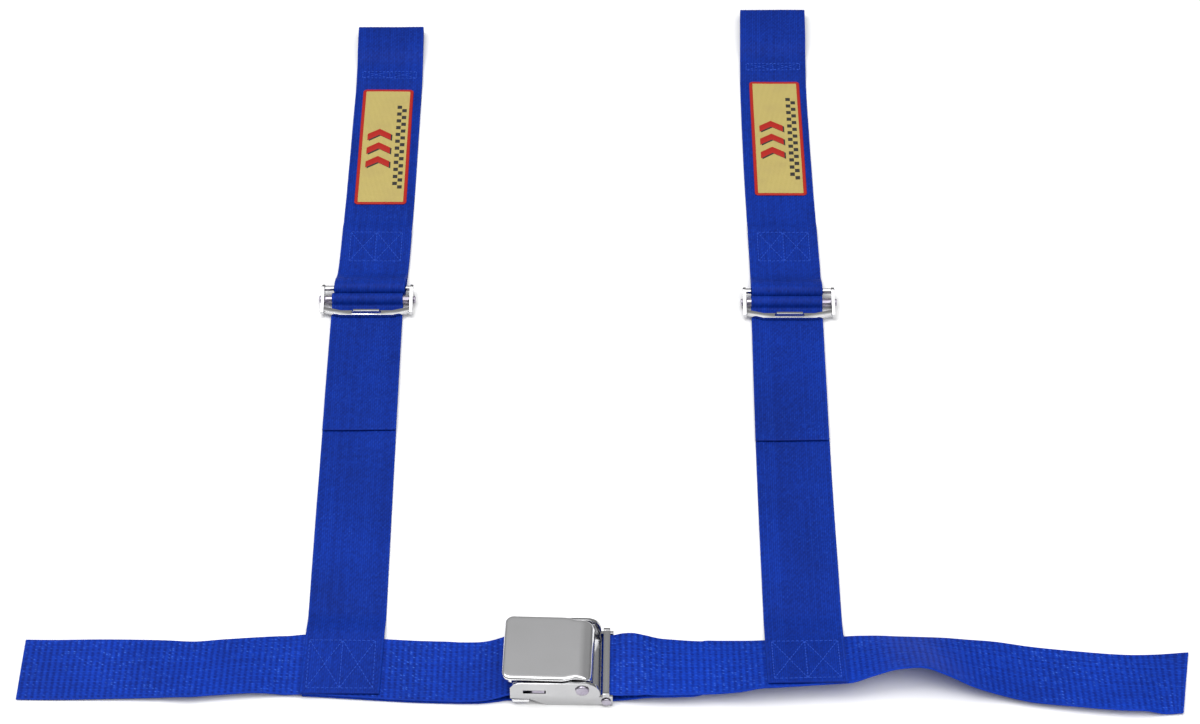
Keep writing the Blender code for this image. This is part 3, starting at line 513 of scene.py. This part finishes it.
def woven(name, stations, body, material, node, width=WEB_WIDTH, ribs=0.0, end_skew=0.0):
    """A strap with its weave in the mesh: crowns of warp in a chequer, and rounded selvedges.

    With ribs, every second pick of weft also stands up as a rib across the strap.
    """
    middle, across, length = even_run(stations)
    ahead = np.gradient(middle, axis=0)
    ahead = (ahead + np.roll(ahead, 1, 0) + np.roll(ahead, -1, 0))
    ahead[0], ahead[-1] = middle[1] - middle[0], middle[-1] - middle[-2]
    ahead /= np.linalg.norm(ahead, axis=1)[:, None]
    up = np.cross(across, ahead)
    up /= np.linalg.norm(up, axis=1)[:, None]

    half = width / 2
    inner = int((half - SELVEDGE) // (BUNDLE / 2))
    offsets = np.arange(-inner, inner + 1) * (BUNDLE / 2)
    edge = half - SELVEDGE * (1 - np.sin(np.radians([22, 50, 72])))
    offsets = np.concatenate([-edge[::-1], offsets, edge])
    past = np.clip((np.abs(offsets) - (half - SELVEDGE)) / SELVEDGE, 0, 1)
    thick = WEB_THICK / 2 * np.sqrt(1 - past**2)

    rows, picks = np.arange(len(middle)), np.arange(len(middle)) // 2
    column = np.round((offsets - BUNDLE / 2) / BUNDLE).astype(int)
    column -= column.min()
    on_crown = np.abs((offsets / BUNDLE - 0.5) % 1 - 0.5) > 0.4
    over = (picks[:, None] + column[None, :]) % 2 == 0
    at_pick = (rows % 2 == 0)[:, None]
    plain = (past > 0)[None, :]
    chance = np.random.default_rng(len(middle))
    cells = chance.random((picks[-1] + 1, column.max() + 1))[picks][:, column]
    tight = chance.random(column.max() + 1)[column]
    lifts = []
    for raised in (over, ~over):
        height = np.where(at_pick, np.where(raised, 0.62, -0.25), 0.2)
        height = np.where(on_crown[None, :], height + 0.9 * (tight - 0.5), -0.6)
        height += ribs * np.where(picks % 2 == 0, 0.5, -0.5)[:, None] + 0.35 * (cells - 0.5)
        lifts.append(np.where(plain, 0.2, height))
    height, under = lifts
    # Painted highlights: a few random crowns at each pick, marked for pale glints painted into the webbing's
    # colour.
    painted_glints = np.where(on_crown[None, :] & ~plain & at_pick, np.clip(cells * 5 - 4, 0, 1), 0)

    skew = np.zeros(len(middle))
    skew[:12] = end_skew * (1 - np.arange(12) / 12)
    line = middle[:, None, :] + across[:, None, :] * offsets[None, :, None]
    line -= ahead[:, None, :] * (skew[:, None] * offsets[None, :] / half)[..., None]
    line[..., 2] += lie(line)
    top = line + up[:, None, :] * (thick[None, :] + RELIEF * height)[..., None]
    low = line - up[:, None, :] * (thick[None, :] + RELIEF * under)[..., None]
    sides = [middle + across * s * half for s in (1, -1)]
    for s, side_line in zip((1, -1), sides):
        side_line -= ahead * (skew * s)[:, None]
        side_line[:, 2] += lie(side_line)
    rings = np.concatenate([top, sides[0][:, None], low[:, ::-1], sides[1][:, None]], axis=1)
    mesh = grid_mesh(name, rings)

    edge_value = np.full((len(middle), 1), 0.5)
    # The crown height also sets the painted shade of the gaps and the painted light of the crowns in the
    # webbing's colour.
    crown = np.concatenate([(height + 1) / 2, edge_value, ((under + 1) / 2)[:, ::-1], edge_value], axis=1)
    painted_glint = np.concatenate([painted_glints, edge_value * 0, painted_glints[:, ::-1], edge_value * 0], axis=1)
    across_mm = np.concatenate([offsets, [half], offsets[::-1], [-half]]) / MM
    along_mm = np.linspace(0, length / MM, len(middle))
    values = {"crown": crown, "painted_glint": painted_glint, "across": np.broadcast_to(across_mm, crown.shape),
              "along": np.broadcast_to(along_mm[:, None], crown.shape)}
    for key, value in values.items():
        attribute = mesh.attributes.new(key, "FLOAT", "POINT")
        attribute.data.foreach_set("value", value.astype(np.float32).ravel())
    piece = add_object(name, mesh, material, body, [node])
    return piece


# ---- Sewing -------------------------------------------------------------------------------------


def stitch_form():
    """One stitch along X, 1 long: a bead that rises from the cloth and dives back, as ring points."""
    rings = []
    for t in np.linspace(-0.5, 0.5, 7):
        swell = math.sqrt(max(1 - (2 * t) ** 2, 0.03))
        ring = [(t, math.cos(a) * swell, math.sin(a) * swell + 1.1 * (swell - 1))
                for a in np.linspace(0, 2 * math.pi, 7)[:-1]]
        rings.append(ring)
    return np.array(rings)


def sewn(name, lines, place, body, node, pitch=3.1 * MM, thread=0.36 * MM):
    """Rows of stitches along straight lines ((x0, y0), (x1, y1)), in mm, on the plane of place."""
    form = stitch_form()
    rings, count = form.shape[:2]
    index = np.arange(rings * count).reshape(rings, count)
    following = np.roll(index, -1, axis=1)
    quads = np.stack([index[:-1], following[:-1], following[1:], index[1:]], axis=-1).reshape(-1, 4)
    faces_one = quads.tolist() + [index[0, ::-1].tolist(), index[-1].tolist()]
    points, faces = [], []
    turn = np.array(place.to_3x3())
    origin = np.array(place.translation)
    for start, end in lines:
        start, end = np.array((*start, 0.0)) * MM, np.array((*end, 0.0)) * MM
        run = np.linalg.norm(end - start)
        along = (end - start) / run
        aside = np.array((-along[1], along[0], 0))
        number = max(1, round(run / pitch))
        step = run / number
        for k in range(number):
            centre = start + along * step * (k + 0.5)
            jitter = noise.noise(Vector((centre[0] * 900, centre[1] * 900, len(name)))) * 0.12 * MM
            shape = (centre + aside * jitter + form[..., 0:1] * along * (step - 0.45 * MM)
                     + form[..., 1:2] * aside * thread + form[..., 2:3] * np.array((0, 0, 1)) * thread * 0.8)
            faces += [[i + len(points) for i in face] for face in faces_one]
            points += shape.reshape(-1, 3).tolist()
    world = np.array(points) @ turn.T + origin
    world[:, 2] += lie(world)
    mesh = bpy.data.meshes.new(name)
    mesh.from_pydata(world.tolist(), [], faces)
    mesh.shade_smooth()
    return add_object(name, outward(mesh), THREAD, body, [node])


def crossed_boxes(boxes):
    """The lines of a border and a cross in each box (x0, x1, y0, y1)."""
    lines = []
    for k, (x0, x1, y0, y1) in enumerate(boxes):
        lines += [((x0, y0), (x1, y0)), ((x0, y1), (x1, y1)), ((x1, y0), (x1, y1)),
                  ((x0, y0), (x1, y1)), ((x0, y1), (x1, y0))]
        if k == 0:
            lines.append(((x0, y0), (x0, y1)))
    return lines


def seams(which, side):
    """The stitched boxes of the joint, of the adjuster and of the mounting loop."""
    roll, lean = side["joint_roll"], math.radians(side["joint_roll"])
    middle, _ = on_plane(belt_station(side["joint_x"], side["joint_y"], 0.7, roll), roll, 2)
    lift = Vector((0, math.sin(lean), math.cos(lean))) * (WEB_THICK / 2 + SEAM_RISE)
    joint = Matrix.Translation(middle + lift) @ Matrix.Rotation(-lean, 4, "X")
    joint = joint @ Matrix.Rotation(-math.atan(side["joint_rise"]), 4, "Y")
    boxes = [(-21.5, 0, -20, 20), (0, 21.5, -20, 20)]
    sewn(f"lap_stitches_{which}", crossed_boxes(boxes), joint, f"lap_{which}", f"lap_seam_{which}")

    above = SECOND_Z + WEB_THICK / 2 + SEAM_RISE
    for name, y, boxes in (("adjuster", 401, [(-19, 0, -15, 16), (0, 19, -15, 16)]),
                           ("loop", side["label_y"][1] + 17.5, [(-21, 0, -4, 4), (0, 21, -4, 4)])):
        place = Matrix.Translation((between(side["upper_x"], y) * MM, y * MM, above))
        sewn(f"{name}_stitches_{which}", crossed_boxes(boxes), place, f"upper_{which}",
             f"{name}_seam_{which}")


def settle(mesh, place):
    """Puts a mesh in its place on the cloth, with the cloth's own waves."""
    mesh.transform(place)
    points = np.empty(len(mesh.vertices) * 3)
    mesh.vertices.foreach_get("co", points)
    points = points.reshape(-1, 3)
    points[:, 2] += lie(points)
    mesh.vertices.foreach_set("co", points.ravel())
    return mesh


# ---- Labels -------------------------------------------------------------------------------------


def cloth_panel(name, outline, place, low, high, material, body, replaces=()):
    """Flat shapes of cloth or embroidery on the plane of place, each an outline of (u, v) in mm."""
    bm = bmesh.new()
    for shape in outline:
        face = bm.faces.new([bm.verts.new((u * MM, v * MM, low)) for u, v in shape])
        grown = bmesh.ops.extrude_face_region(bm, geom=[face])
        moved = [v for v in grown["geom"] if isinstance(v, bmesh.types.BMVert)]
        bmesh.ops.translate(bm, vec=(0, 0, high - low), verts=moved)
    bmesh.ops.recalc_face_normals(bm, faces=bm.faces)
    rim = [e for e in bm.edges if e.verts[0].co.z > high - 1e-6 and e.verts[1].co.z > high - 1e-6]
    bmesh.ops.bevel(bm, geom=rim, offset=(high - low) * 0.6, segments=2, affect="EDGES", profile=0.6)
    mesh = bpy.data.meshes.new(name)
    bm.to_mesh(mesh)
    bm.free()
    settle(mesh, place)
    mesh.shade_smooth()
    mesh.set_sharp_from_angle(angle=math.radians(50))
    return add_object(name, mesh, material, body, replaces)


def ground_cloth(name, place, material, body, node):
    """The label's base, in cells fine enough to follow the strap's waves."""
    bm = bmesh.new()
    bmesh.ops.create_cube(bm, size=1)
    bmesh.ops.scale(bm, vec=(LABEL[0] - 1.2 * MM, LABEL[1] - 1.2 * MM, 0.45 * MM), verts=bm.verts)
    bmesh.ops.translate(bm, vec=(0, LABEL[1] / 2, 0.225 * MM), verts=bm.verts)
    for axis, count in ((0, 12), (1, 40)):
        along = [e for e in bm.edges if abs((e.verts[0].co - e.verts[1].co).normalized()[axis]) > 0.9]
        bmesh.ops.subdivide_edges(bm, edges=along, cuts=count, use_grid_fill=True)
    mesh = bpy.data.meshes.new(name)
    bm.to_mesh(mesh)
    bm.free()
    settle(mesh, place)
    return add_object(name, mesh, material, body, [node])


def merrowed(name, place, material, body):
    """The label's overlocked rim: a fat cord of close stitches round the cloth."""
    half, length, corner, width, tall = LABEL[0] / 2, LABEL[1], 2.2 * MM, 1.45 * MM, 0.75 * MM
    path = []
    for cx, cy, start in ((half - corner, corner, -90), (half - corner, length - corner, 0),
                          (corner - half, length - corner, 90), (corner - half, corner, 180)):
        path += arc(cx, cy, corner, start, start + 90, 6)
    path.append(path[0])
    line = np.array(path)
    lengths = np.concatenate([[0], np.cumsum(np.linalg.norm(np.diff(line, axis=0), axis=1))])
    count = int(lengths[-1] / (0.42 * MM)) // 2 * 2
    at = np.linspace(0, lengths[-1], count, endpoint=False)
    centre = np.stack([np.interp(at, lengths, line[:, k]) for k in range(2)], axis=1)
    ahead = np.roll(centre, -1, 0) - np.roll(centre, 1, 0)
    ahead /= np.linalg.norm(ahead, axis=1)[:, None]
    aside = np.stack([ahead[:, 1], -ahead[:, 0]], axis=1)
    swell = np.where(np.arange(count) % 2 == 0, 1.0, 0.84)[:, None]
    rings = []
    for a in np.linspace(0, 2 * math.pi, 11)[:-1]:
        flat = centre + aside * (width * math.cos(a) - width * 0.55) * swell
        rings.append(np.concatenate([flat, swell * tall * (0.42 + 0.58 * math.sin(a))], axis=1))
    points = np.stack(rings, axis=1)
    points = np.concatenate([points, points[:1]])
    mesh = grid_mesh(name, points, caps=False)
    bm = bmesh.new()
    bm.from_mesh(mesh)
    bmesh.ops.remove_doubles(bm, verts=bm.verts, dist=1e-6)
    bm.to_mesh(mesh)
    bm.free()
    settle(mesh, place)
    return add_object(name, outward(mesh), material, body)


def label(which, side):
    """A yellow cloth label with a red rim, three chevrons and a chequered strip."""
    place = Matrix.Translation((side["label_x"] * MM, side["label_y"][0] * MM, WEB_THICK + 0.25 * MM))
    body = f"upper_{which}"
    ground_cloth(f"label_ground_{which}", place, CLOTH, body, f"label_{which}")
    merrowed(f"label_rim_{which}", place, RED, body)
    chevrons, shadows = [], []
    for v in (41, 56.5, 72):
        shape = [(-13.5, v), (-4.5, v + 6), (4.5, v), (4.5, v + 7), (-4.5, v + 13), (-13.5, v + 7)]
        chevrons.append(shape[::-1])
        shadows.append([(u + 1.1, w - 0.9) for u, w in shape[::-1]])
    cloth_panel(f"label_shadows_{which}", shadows, place, 0.40 * MM, 0.60 * MM, BLACK, body)
    cloth_panel(f"label_chevrons_{which}", chevrons, place, 0.42 * MM, 0.80 * MM, RED, body)
    squares = []
    for k in range(24):
        u, v = (8.0 if k % 2 else 11.8), 17 + 4 * k
        squares.append([(u, v), (u, v + 3.7), (u + 3.5, v + 3.7), (u + 3.5, v)])
    cloth_panel(f"label_chequer_{which}", squares, place, 0.40 * MM, 0.62 * MM, BLACK, body)


# ---- Hardware -----------------------------------------------------------------------------------


def bevelled(node, body, material, width, segments=2):
    """A copy of a CAD node with its sharp edges rounded."""
    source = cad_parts[node]
    bm = bmesh.new()
    bm.from_mesh(source.data)
    bm.transform(source.matrix_world)
    bmesh.ops.remove_doubles(bm, verts=bm.verts, dist=0.002 * MM)
    bmesh.ops.dissolve_limit(bm, angle_limit=math.radians(1), verts=bm.verts, edges=bm.edges)
    sharp = [e for e in bm.edges if e.is_manifold and e.calc_face_angle(0) > math.radians(32)]
    bmesh.ops.bevel(bm, geom=sharp, offset=width, segments=segments, affect="EDGES", profile=0.5,
                    clamp_overlap=True, harden_normals=False)
    mesh = bpy.data.meshes.new(f"{node}_detail")
    bm.to_mesh(mesh)
    bm.free()
    mesh.shade_smooth()
    mesh.set_sharp_from_angle(angle=math.radians(38))
    return add_object(f"{node}_detail", mesh, material, body, [node])


def rounded_outline(half_x, half_y, corner):
    """A rectangle with round corners, with as many points along its straight sides as COVER_POINTS."""
    points = []
    for sx, sy, start in ((1, 1, 0), (-1, 1, 90), (-1, -1, 180), (1, -1, 270)):
        points += arc(sx * (half_x - corner), sy * (half_y - corner), corner, start, start + 90, 10)
        level = start in (0, 180)
        number = COVER_POINTS[0] if level else COVER_POINTS[1]
        run = 2 * ((half_x if level else half_y) - corner) / number
        step_x, step_y = (-sx * run, 0) if level else (0, -sy * run)
        x, y = points[-1]
        points += [(x + step_x * k, y + step_y * k) for k in range(1, number)]
    return points


def cover_ring(half_x, half_y, corner, inset, height, flare=0.0):
    """One ring of the lever cover, with a flared rim, a rolled rear and room for the pin."""
    ring = []
    outline = rounded_outline(half_x - inset, half_y - inset, max(corner - inset, 0.9 * MM))
    for x, y in outline:
        share = min(max((x - COVER_BEND[0]) / COVER_BEND[1], 0), 1)
        drop = COVER_BEND[2] * (1 - math.sqrt(1 - share * share))
        fade = min(max((COVER_FLARE[2] - x) / (COVER_FLARE[2] - COVER_FLARE[1]), 0), 1)
        grown = 1 + flare * fade * fade * (3 - 2 * fade) / half_y
        z = height - drop
        if abs(x - PIN.x) < COVER_BORE:
            z = max(z, PIN.z + math.sqrt(COVER_BORE**2 - (x - PIN.x) ** 2))
        ring.append((x * (1 + flare / half_x if x < 0 else 1), y * grown, z))
    return ring


def cover():
    """The lever's drawn cover, with a soft edge all round, and its two lugs."""
    half_x, half_y = COVER_HALF
    edge, corner = 1.7 * MM, 5.2 * MM
    flare, base = COVER_FLARE[0], COVER_TOP - edge
    levels = [(0.0, COVER_SKIRT, 0.0), (0.0, base - 1.0 * MM, 0.0), (0.0, base - 0.6 * MM, 0.5 * flare),
              (0.0, base - 0.3 * MM, flare)]
    levels += [(edge * (1 - math.cos(a)), COVER_TOP - edge * (1 - math.sin(a)), flare)
               for a in np.linspace(0, math.pi / 2, 10)]
    levels += [(inset, COVER_TOP, flare) for inset in np.arange(3.0 * MM, half_y - 0.8 * MM, 0.9 * MM)]
    wall = [(0.0, COVER_SKIRT, 0.0)] + [w for w in levels[4:] if w[0] < half_y - COVER_WALL - 2.5 * MM]
    rings = [cover_ring(half_x, half_y, corner, *level) for level in levels[::-1]]
    rings += [cover_ring(half_x, half_y, corner, inset + COVER_WALL, z - (COVER_WALL if k else 0), out)
              for k, (inset, z, out) in enumerate(wall)]
    mesh = outward(grid_mesh("cover", np.array(rings)))
    bm = bmesh.new()
    bm.from_mesh(mesh)
    foot = COVER_TOP - COVER_WALL + 0.7 * MM
    outline = [(PIN.x - 0.5 * MM, foot - 0.5 * MM), (PIN.x - 9 * MM, foot)]
    outline += arc(PIN.x, PIN.z, 5 * MM, 180, 360, 20)
    bore = arc(PIN.x, PIN.z, COVER_BORE, 0, 345, 23)
    for low, high in ((-23.7 * MM, -21.5 * MM), (21.5 * MM, 23.7 * MM)):
        edges = []
        for ring in (outline, bore):
            verts = [bm.verts.new((x, low, z)) for x, z in ring]
            edges += [bm.edges.new(pair) for pair in zip(verts, verts[1:] + verts[:1])]
        near = bmesh.ops.triangle_fill(bm, use_beauty=True, edges=edges)["geom"]
        near = [face for face in near if isinstance(face, bmesh.types.BMFace)]
        grown = bmesh.ops.extrude_face_region(bm, geom=near)
        moved = [v for v in grown["geom"] if isinstance(v, bmesh.types.BMVert)]
        bmesh.ops.translate(bm, vec=(0, high - low, 0), verts=moved)
    bm.transform(Matrix.Rotation(BUCKLE_YAW + COVER_PLAY, 4, "Z"))
    bm.to_mesh(mesh)
    bm.free()
    mesh.name = "lever_cover_detail"
    outward(mesh)
    mesh.shade_smooth()
    mesh.set_sharp_from_angle(angle=math.radians(45))
    add_object("lever_cover_detail", mesh, CHROME, "lever", ["lever_cover"])


# ---- Build --------------------------------------------------------------------------------------

LAP_WEBBING = webbing_material("lap_webbing", 0.82, 0.95)
STRAP_WEBBING = webbing_material("strap_webbing", 0.64, 0.24)
THREAD = thread_material("blue_thread", (0.006, 0.042, 0.36), (0.018, 0.085, 0.56))
RED = thread_material("red_thread", (0.30, 0.008, 0.005), (0.44, 0.017, 0.010))
BLACK = thread_material("black_thread", (0.012, 0.011, 0.010), (0.045, 0.042, 0.038))
CHROME = chrome_material("chrome", 1.0)
PLATE = chrome_material("bright_plate", 0.76)
NICKEL = chrome_material("nickel", 0.64)
STEEL = steel_material()
CLOTH = cloth_material()

woven("woven_lap_left", left_belt_route(), "lap_left", LAP_WEBBING, "lap_webbing_left",
      ribs=LAP_RIBS)
woven("woven_lap_right", right_belt_route(), "lap_right", LAP_WEBBING, "lap_webbing_right",
      ribs=LAP_RIBS, end_skew=5 * MM)
for which, side in SIDES.items():
    woven(f"woven_lower_{which}", lower_strap_route(side), f"lap_{which}", STRAP_WEBBING,
          f"lower_strap_{which}", STRAP_WIDTH)
    woven(f"woven_upper_{which}", upper_strap_route(side), f"upper_{which}", STRAP_WEBBING,
          f"upper_strap_{which}", STRAP_WIDTH)
    seams(which, side)
    label(which, side)
    bevelled(f"adjuster_frame_{which}", f"adjuster_{which}", PLATE, 0.32 * MM)
    bevelled(f"slide_bar_{which}", f"slide_bar_{which}", STEEL, 0.15 * MM)

bevelled("buckle_frame", "buckle", NICKEL, 0.35 * MM)
bevelled("tongue", "tongue", CHROME, 0.3 * MM)
bevelled("tongue_guide", "buckle", STEEL, 0.25 * MM)
bevelled("latch_hook", "lever", STEEL, 0.25 * MM)
bevelled("pivot_pin", "buckle", STEEL, 0.15 * MM)
bevelled("webbing_bar", "buckle", STEEL, 0.15 * MM)
cover()
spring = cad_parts["lever_spring"]
spring.data.materials.clear()
spring.data.materials.append(STEEL)


# ---- Studio -------------------------------------------------------------------------------------


# Each light: its name, its place and size in metres, and its power in watts
LIGHTS = (("key", (-0.7, 0.2, 1.9), 1.3, 19), ("fill", (0.9, -0.9, 1.5), 1.4, 15))
LIT_PLACE = Vector((0.03, 0.28, 0))
VIEWED_PLACE = Vector((0.032, 0.284, 0))
EYE_RISE = 1.5655  # as far up as back, for 45 degrees
LENS = 93.0


def studio():
    """A white floor, a sky that is bright overhead, and two square lights."""
    bm = bmesh.new()
    bmesh.ops.create_grid(bm, x_segments=4, y_segments=4, size=6)
    mesh = bpy.data.meshes.new("floor")
    bm.to_mesh(mesh)
    bm.free()
    floor = bpy.data.objects.new("floor", mesh)
    floor.location.z = -0.15 * MM
    mesh.materials.append(floor_material())
    bpy.context.scene.collection.objects.link(floor)

    world = bpy.data.worlds.new("studio")
    bpy.context.scene.world = world
    world.use_nodes = True
    tree = world.node_tree
    where = tree.nodes.new("ShaderNodeTexCoord")
    split = tree.nodes.new("ShaderNodeSeparateXYZ")
    tree.links.new(where.outputs["Generated"], split.inputs[0])
    ramp = tree.nodes.new("ShaderNodeValToRGB")
    tree.links.new(split.outputs["Z"], ramp.inputs["Fac"])
    stops = [(0.0, 0.10), (0.10, 0.16), (0.30, 0.34), (0.62, 0.34), (0.78, 0.46), (0.90, 1.5), (1.0, 2.3)]
    while len(ramp.color_ramp.elements) < len(stops):
        ramp.color_ramp.elements.new(0.5)
    for element, (at, value) in zip(ramp.color_ramp.elements, stops):
        element.position = at
        element.color = (value, value, value, 1)
    tree.links.new(ramp.outputs["Color"], tree.nodes["Background"].inputs["Color"])
    tree.nodes["Background"].inputs["Strength"].default_value = 1.0

    for name, place, size, power in LIGHTS:
        light = bpy.data.lights.new(name, "AREA")
        light.shape, light.size, light.energy = "SQUARE", size, power
        lamp = bpy.data.objects.new(name, light)
        lamp.location = place
        lamp.rotation_euler = (LIT_PLACE - Vector(place)).to_track_quat("-Z", "Y").to_euler()
        bpy.context.scene.collection.objects.link(lamp)


def camera():
    """The main view: 45 degrees down, square to the lap belt, from 2.2 m."""
    data = bpy.data.cameras.new("camera")
    data.lens, data.sensor_width = LENS, 36.0
    eye = bpy.data.objects.new("camera", data)
    eye.location = VIEWED_PLACE + Vector((0, -EYE_RISE, EYE_RISE))
    eye.rotation_euler = (VIEWED_PLACE - eye.location).to_track_quat("-Z", "Y").to_euler()
    bpy.context.scene.collection.objects.link(eye)
    bpy.context.scene.camera = eye


studio()
camera()
bpy.context.scene.view_settings.view_transform = "Standard"
